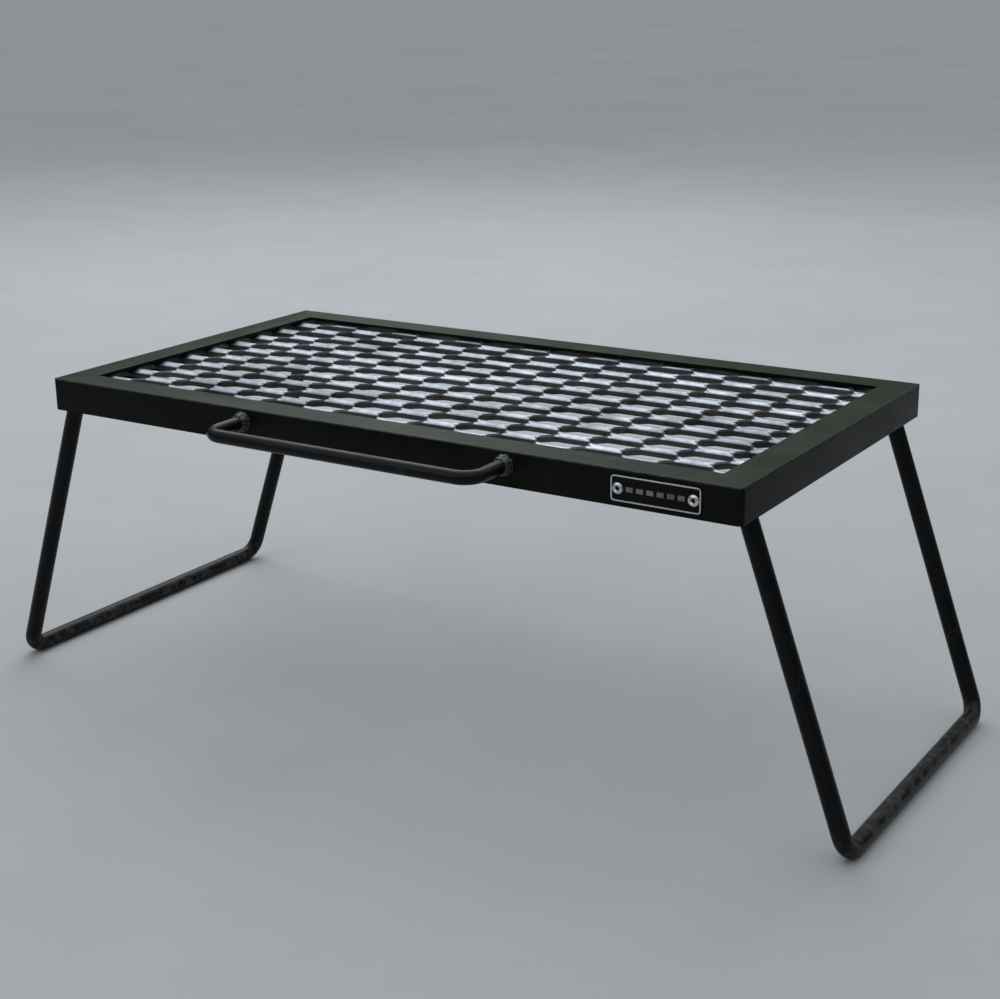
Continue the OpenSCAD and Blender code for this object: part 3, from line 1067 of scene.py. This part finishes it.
    @staticmethod
    def cut(shape: Shape, axis: int, place: float, way: int) -> None:
        """Cuts the panel square, removes what is beyond, and closes the strands.

        Args:
            shape: the panel.
            axis: 0 cuts across X, 1 across Y.
            place: where along that axis.
            way: 1 keeps what is below the cut, -1 what is above.
        """
        point, normal = Vector((0, 0, 0)), Vector((0, 0, 0))
        point[axis], normal[axis] = place, way
        whole = [*shape.verts, *shape.edges, *shape.faces]
        bmesh.ops.bisect_plane(
            shape, geom=whole, dist=1e-7, plane_co=point, plane_no=normal, clear_outer=True
        )
        rims = [
            edge
            for edge in shape.edges
            if edge.is_boundary and all(abs(vert.co[axis] - place) < 1e-6 for vert in edge.verts)
        ]
        filled = bmesh.ops.holes_fill(shape, edges=rims, sides=0)["faces"]
        # The closed cut ends take the darker steel too, partly painted shade.
        for face in filled:
            face.material_index = 1


@dataclass
class Hinges:
    """Rods inside each end of the frame, their welds and the spacers on the right rod."""

    finishes: Finishes
    chamfer: float = 0.5 * MM

    def build(self) -> None:
        """Makes the rods, their end welds and the spacers."""
        to_y = Matrix.Rotation(math.pi / 2, 4, "X")
        welds = []
        for side in ("left", "right"):
            low, high = (Vector(corner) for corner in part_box(f"hinge_rod_{side}"))
            middle = (low + high) / 2
            rod_r = (high.x - low.x) / 2
            plain = tube(0.0, rod_r, high.y - low.y, self.chamfer)
            rod = turned(Matrix.Translation(middle) @ to_y, plain)
            node = f"hinge_rod_{side}"
            finished(f"{node}_steel", rod, [self.finishes.rods], Body.FRAME, [node])
            for y in (low.y + 0.9 * MM, high.y - 0.9 * MM):
                bead = ring_bead(rod_r + 0.7 * MM, 1.5 * MM, 14)
                welds.append(turned(Matrix.Translation((middle.x, y, middle.z)) @ to_y, bead))
        metal = [self.finishes.welds]
        finished(
            "hinge_rod_beads", joined(welds), metal, Body.FRAME, ["hinge_rod_welds"]
        )
        self.spacers(to_y)

    def spacers(self, to_y: Matrix) -> None:
        """Makes the two spacer tubes.

        Args:
            to_y: turns a piece from Z to Y.
        """
        low, high = (Vector(corner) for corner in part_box("spacer_tubes"))
        rod_low, rod_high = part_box("hinge_rod_right")
        sleeve_low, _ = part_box("right_leg_sleeves")
        rod_r = (rod_high[0] - rod_low[0]) / 2
        end_play = 0.6 * MM
        length = sleeve_low[1] - end_play - low.y
        tubes = []
        for y in (low.y + length / 2, high.y - length / 2):
            place = Matrix.Translation(((low.x + high.x) / 2, y, (low.z + high.z) / 2))
            spacer = tube(rod_r, (high.x - low.x) / 2, length, self.chamfer)
            tubes.append(turned(place @ to_y, spacer))
        steel = [self.finishes.rods]
        finished(
            "spacer_tube_pair", joined(tubes), steel, Body.FRAME, ["spacer_tubes"]
        )


@dataclass
class Leg:
    """One U-shaped leg with its sleeves and the welds that hold them."""

    finishes: Finishes
    side: Side
    splay: float = math.radians(19.5)
    bend: float = 14 * MM
    bore: float = 4.05 * MM
    sleeve_len: float = 12.7 * MM
    chamfer: float = 0.6 * MM
    bead: float = 1.5 * MM

    @property
    def word(self) -> str:
        """The leg's name as its CAD nodes have it."""
        return "left" if self.side is Side.LEFT else "right"

    def build(self) -> None:
        """Makes the bar, the sleeves and the beads."""
        joint = next(j for j in frame["joints"] if j["name"] == f"{self.word}_leg_fold")
        hinge = Vector(joint["pos_m"])
        body = Body.LEFT_LEG if self.side is Side.LEFT else Body.RIGHT_LEG
        low, high = (Vector(corner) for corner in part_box(f"{self.word}_leg"))
        sleeve_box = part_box(f"{self.word}_leg_sleeves")
        sleeve_low, sleeve_high = (Vector(corner) for corner in sleeve_box)
        sleeve_r = (sleeve_high.z - sleeve_low.z) / 2
        width = sleeve_high.y - sleeve_low.y - self.sleeve_len
        bar_r = (high.y - low.y - width) / 2
        reach = (hinge.z - low.z - bar_r) / math.cos(self.splay)
        opened = Matrix.Rotation(-self.side.value * self.splay, 4, "Y")
        place = Matrix.Translation(hinge) @ opened @ self.hanging()
        bar = self.coped(u_bar(bar_r, width, reach, self.bend, sleeve_r), sleeve_r)
        node = f"{self.word}_leg"
        finished(f"{node}_bar", turned(place, bar), [self.finishes.bars], body, [node])
        sleeves, beads = [], []
        for arm in (-width / 2, width / 2):
            along = Matrix.Translation((arm, 0, 0))
            across = along @ Matrix.Rotation(math.pi / 2, 4, "Y")
            sleeve = tube(self.bore, sleeve_r, self.sleeve_len, self.chamfer)
            sleeves.append(turned(place @ across, sleeve))
            beads.append(turned(place @ along, self.neck_bead(bar_r, sleeve_r)))
        pair, necks = joined(sleeves), joined(beads)
        paint, metal = [self.finishes.bars], [self.finishes.welds]
        finished(f"{node}_sleeve_pair", pair, paint, body, [f"{node}_sleeves"])
        finished(f"{node}_neck_beads", necks, metal, body, [f"{node}_welds"])

    @staticmethod
    def hanging() -> Matrix:
        """Turns a bar drawn along +Z with its width along X to hang with its width along Y."""
        return Matrix(((0, 1, 0, 0), (1, 0, 0, 0), (0, 0, -1, 0), (0, 0, 0, 1)))

    @staticmethod
    def coped(bar: Shape, sleeve_r: float) -> Shape:
        """Shapes the two bar ends to sit on the round of the sleeves.

        Args:
            bar: the bar, with its ends at the height of the sleeve's radius.
            sleeve_r: outer radius of the sleeves.

        Returns:
            The same bar.
        """
        for vert in bar.verts:
            if vert.co.z < sleeve_r + 1e-6:
                vert.co.z = math.sqrt(max(0.0, sleeve_r**2 - vert.co.y**2)) - 0.2 * MM
        return bar

    def neck_bead(self, bar_r: float, sleeve_r: float) -> Shape:
        """Makes the bead that follows the cope round a bar's neck.

        It dies away on the outward side, where the open leg lies against its rail.

        Args:
            bar_r: radius of the bar.
            sleeve_r: outer radius of the sleeve.

        Returns:
            The bead round the Z axis, saddle-shaped.
        """
        bead = ring_bead(bar_r - 0.1 * MM, self.bead, 18)
        for vert in bead.verts:
            angle = math.atan2(vert.co.y, vert.co.x)
            across = bar_r * math.sin(angle)
            outward = self.side.value * math.sin(angle)
            size = min(1.0, max(0.04, (0.72 - outward) / 0.3))
            middle = Vector((math.cos(angle), math.sin(angle), 0)) * (bar_r - 0.1 * MM)
            vert.co = middle + (vert.co - middle) * size
            vert.co.z += math.sqrt(max(0.0, sleeve_r**2 - across**2)) + 0.5 * MM
        return bead


@dataclass
class CarryHandle:
    """The round-bar handle and the beads at its two feet."""

    measures: Measures
    finishes: Finishes
    bend: float = 13 * MM
    bead: float = 2.2 * MM
    layers: int = 3
    layer_step: float = 2 * MM
    outermost: float = 0.9 * MM
    step_in: float = 0.7 * MM

    def build(self) -> None:
        """Makes the bar and its weld beads."""
        low, high = (Vector(corner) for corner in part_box("handle"))
        bar_r = (high.z - low.z) / 2
        width = high.x - low.x - 2 * bar_r
        reach = self.measures.front_y - low.y - bar_r
        foot = Vector(((low.x + high.x) / 2, self.measures.front_y, (low.z + high.z) / 2))
        place = Matrix.Translation(foot) @ Matrix.Rotation(math.pi / 2, 4, "X")
        bar = turned(place, u_bar(bar_r, width, reach, self.bend))
        finished("handle_bar", bar, [self.finishes.bars], Body.FRAME, ["handle"])
        beads = []
        for arm in (-width / 2, width / 2):
            for layer in range(self.layers):
                radius = bar_r + self.outermost - layer * self.step_in
                ring = ring_bead(radius, self.bead, 8 - layer, 0.24)
                twist = Matrix.Rotation(layer * 1.1 + arm, 4, "Z")
                height = Matrix.Translation((arm, 0, layer * self.layer_step))
                beads.append(turned(place @ height @ twist, ring))
        paint = [self.finishes.painted_welds]
        finished(
            "handle_foot_beads", joined(beads), paint, Body.FRAME, ["handle_welds"]
        )


@dataclass
class Nameplate:
    """A plain black plate with a bright rim and dashes, held by two rivets."""

    finishes: Finishes
    corner: float = 2.5 * MM
    rim: float = 1.0 * MM
    relief: float = 0.3 * MM
    dash: tuple[float, float] = (5 * MM, 3.4 * MM)
    dash_step: float = 7.4 * MM
    dash_count: int = 6
    rivet_gap: float = 54 * MM

    def build(self) -> None:
        """Makes the plate and its rivets."""
        low, high = (Vector(corner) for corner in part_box("nameplate"))
        middle = Vector(((low.x + high.x) / 2, high.y, (low.z + high.z) / 2))
        place = Matrix.Translation(middle) @ Matrix.Rotation(math.pi / 2, 4, "X")
        thick = high.y - low.y
        plate = self.plate(high.x - low.x, high.z - low.z, thick)
        skins = [self.finishes.enamel, self.finishes.bright, self.finishes.dull]
        finished(
            "nameplate_relief", turned(place, plate), skins, Body.FRAME, ["nameplate"]
        )
        rivets = []
        rivet_low, rivet_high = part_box("nameplate_rivets")
        head_r = (rivet_high[2] - rivet_low[2]) / 2
        rise = rivet_high[1] - rivet_low[1] - (thick - self.relief)
        for side in (-1, 1):
            along = Matrix.Translation((side * self.rivet_gap / 2, 0, thick - self.relief))
            rivets.append(turned(place @ along, self.rivet(head_r, rise)))
        # The black enamel is painted shade in the rivets' pin wells.
        bright = [self.finishes.bright, self.finishes.enamel]
        finished(
            "nameplate_rivet_pair",
            joined(rivets),
            bright,
            Body.FRAME,
            ["nameplate_rivets"],
        )

    def plate(self, width: float, height: float, thick: float) -> Shape:
        """Makes the plate flat on the XY plane.

        Args:
            width: size along X.
            height: size along Y.
            thick: height of the raised rim.

        Returns:
            The plate; its rim has material number 1 and its dashes 2.
        """
        shape = bmesh.new()
        scale = Matrix.Diagonal((width, height, thick, 1))
        bmesh.ops.create_cube(shape, size=1, matrix=Matrix.Translation((0, 0, thick / 2)) @ scale)
        posts = [e for e in shape.edges if abs((e.verts[0].co - e.verts[1].co).z) > thick / 2]
        bmesh.ops.bevel(
            shape, geom=posts, offset=self.corner, segments=8, profile=0.5, affect="EDGES", material=-1
        )
        top = max(shape.faces, key=lambda face: face.calc_center_median().z)
        rim_edges = list(top.edges)
        bmesh.ops.bevel(
            shape, geom=rim_edges, offset=0.2 * MM, segments=2, profile=0.5, affect="EDGES", material=1
        )
        top = max(shape.faces, key=lambda face: (face.calc_center_median().z, face.calc_area()))
        flat = self.rim - 0.3 * MM
        band = bmesh.ops.inset_region(shape, faces=[top], thickness=flat, depth=0.0)["faces"]
        fall = -self.relief
        slope = bmesh.ops.inset_region(shape, faces=[top], thickness=0.15 * MM, depth=fall)["faces"]
        for face in (*band, *slope):
            face.material_index = 1
        return joined([shape, self.dashes(thick)])

    def dashes(self, thick: float) -> Shape:
        """Makes the row of raised dashes.

        Args:
            thick: height of their tops.

        Returns:
            The dashes, with eased edges.
        """
        shape = bmesh.new()
        for k in range(self.dash_count):
            x = (k - (self.dash_count - 1) / 2) * self.dash_step
            size = Matrix.Diagonal((*self.dash, 2 * self.relief, 1))
            place = Matrix.Translation((x, 0, thick - self.relief))
            bmesh.ops.create_cube(shape, size=1, matrix=place @ size)
        rims = list(shape.edges)
        bmesh.ops.bevel(
            shape, geom=rims, offset=0.12 * MM, segments=2, profile=0.5, affect="EDGES", material=-1
        )
        for face in shape.faces:
            face.material_index = 2
        return shape

    @staticmethod
    def rivet(radius: float, rise: float) -> Shape:
        """Makes a domed blind-rivet head on the XY plane.

        Args:
            radius: radius of the head.
            rise: height of the dome.

        Returns:
            The head, with the small well of its broken pin as material number 1, coloured black as
            painted shade of the hole.
        """
        well = 0.33 * radius
        profile = [(0.0, 0.45 * rise), (0.7 * well, 0.5 * rise), (well, 0.42 * rise)]
        steep, steps = math.radians(74), 8
        for step in range(steps + 1):
            angle = steep * (1 - step / steps)
            across = well + (radius - well) * math.cos(angle)
            profile.append((across, rise * (0.12 + 0.88 * math.sin(angle) / math.sin(steep))))
        profile.append((radius, 0.0))
        head = lathed(profile, 40)
        for face in head.faces:
            middle = face.calc_center_median()
            # Painted shade: the pin's well takes the black enamel.
            face.material_index = 1 if math.hypot(middle.x, middle.y) < well else 0
        return head


@dataclass
class PanelTacks:
    """The small welds that hold the panel, kept as they are and dressed."""

    finishes: Finishes

    def build(self) -> None:
        """Gives the tacks their weld finish."""
        tacks = frame["nodes"]["mesh_tacks"]
        tacks.data.materials.clear()
        tacks.data.materials.append(self.finishes.welds)
        LOG.info("mesh_tacks: dressed")


# ---------------------------------------------------------------- studio


@dataclass
class Studio:
    """Floor, light and camera."""

    measures: Measures
    finishes: Finishes
    floor_size: float = 120.0
    lens: float = 63.08
    yaw: float = math.radians(-32.526)
    pitch: float = math.radians(17.221)
    roll: float = math.radians(-0.63)
    stand: Vector = field(default_factory=lambda: Vector((1.7189, -1.5952, 0.5282)))

    def build(self) -> None:
        """Sets the floor, the lights and the camera."""
        self.floor()
        self.sky()
        self.lamp("overhead_softbox", (-1.2, 1.5, 2.4), (-32, -26, 0), 2.6, 46.0, (0.93, 0.97, 1.0))
        self.lamp("front_fill", (-1.2, -2.6, 1.6), (62, 0, -25), 1.6, 9.0, (1.0, 0.98, 0.95))
        self.camera()

    def floor(self) -> None:
        """Lays the floor under the grill."""
        shape = bmesh.new()
        bmesh.ops.create_grid(shape, x_segments=1, y_segments=1, size=self.floor_size / 2)
        mesh = bpy.data.meshes.new("floor")
        shape.to_mesh(mesh)
        shape.free()
        mesh.materials.append(self.finishes.floor)
        floor = bpy.data.objects.new("floor", mesh)
        bpy.context.scene.collection.objects.link(floor)

    @staticmethod
    def sky() -> None:
        """Wraps the studio in a soft dome, bright overhead and dim at the sides."""
        world = bpy.data.worlds.new("studio_dome")
        world.use_nodes = True
        bpy.context.scene.world = world
        wiring = Wiring(world.node_tree)
        way = wiring.node("ShaderNodeTexCoord").outputs["Generated"]
        height = wiring.fade(wiring.height(way), 0.15, 0.95)
        colour = wiring.blend(height, (0.08, 0.086, 0.076), (0.98, 1.05, 1.15))
        wiring.tree.links.new(colour, world.node_tree.nodes["Background"].inputs["Color"])

    @staticmethod
    def lamp(name: str, place: tuple, turn: tuple, size: float, power: float, colour: Colour) -> None:
        """Hangs one square soft light.

        Args:
            name: the lamp's name.
            place: where it hangs.
            turn: its rotation in degrees.
            size: side of the square.
            power: watts.
            colour: tint.
        """
        light = bpy.data.lights.new(name, "AREA")
        light.size = size
        light.energy = power
        light.color = colour
        lamp = bpy.data.objects.new(name, light)
        lamp.location = place
        lamp.rotation_euler = [math.radians(degrees) for degrees in turn]
        bpy.context.scene.collection.objects.link(lamp)

    def camera(self) -> None:
        """Sets the camera in front of the right end, looking down at the grill."""
        sizes = self.measures
        length = 2 * sizes.half_len
        corner = Vector((-sizes.half_len, sizes.front_y, sizes.top_z))
        place = corner + self.stand * length
        level = math.cos(self.pitch)
        ahead = Vector((math.sin(self.yaw) * level, math.cos(self.yaw) * level, -math.sin(self.pitch)))
        right = ahead.cross(Vector((0, 0, 1))).normalized()
        up = right.cross(ahead)
        across = right * math.cos(self.roll) + up * math.sin(self.roll)
        above = up * math.cos(self.roll) - right * math.sin(self.roll)
        data = bpy.data.cameras.new("camera")
        data.sensor_width = 36.0
        data.lens = self.lens
        data.clip_end = 200.0
        camera = bpy.data.objects.new("camera", data)
        facing = Matrix((across, above, -ahead)).transposed().to_4x4()
        camera.matrix_world = Matrix.Translation(place) @ facing
        bpy.context.scene.collection.objects.link(camera)
        bpy.context.scene.camera = camera


def main() -> None:
    logging.basicConfig(level=logging.INFO, format="%(name)s: %(message)s")
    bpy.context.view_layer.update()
    bpy.context.scene.view_settings.view_transform = "Standard"
    measures = Measures.read()
    finishes = Finishes(measures)
    AngleFrame(measures, finishes).build()
    GrillPanel(measures, finishes).build()
    PanelTacks(finishes).build()
    Hinges(finishes).build()
    Leg(finishes, Side.LEFT).build()
    Leg(finishes, Side.RIGHT).build()
    CarryHandle(measures, finishes).build()
    Nameplate(finishes).build()
    Studio(measures, finishes).build()


if __name__ == "__main__":
    main()
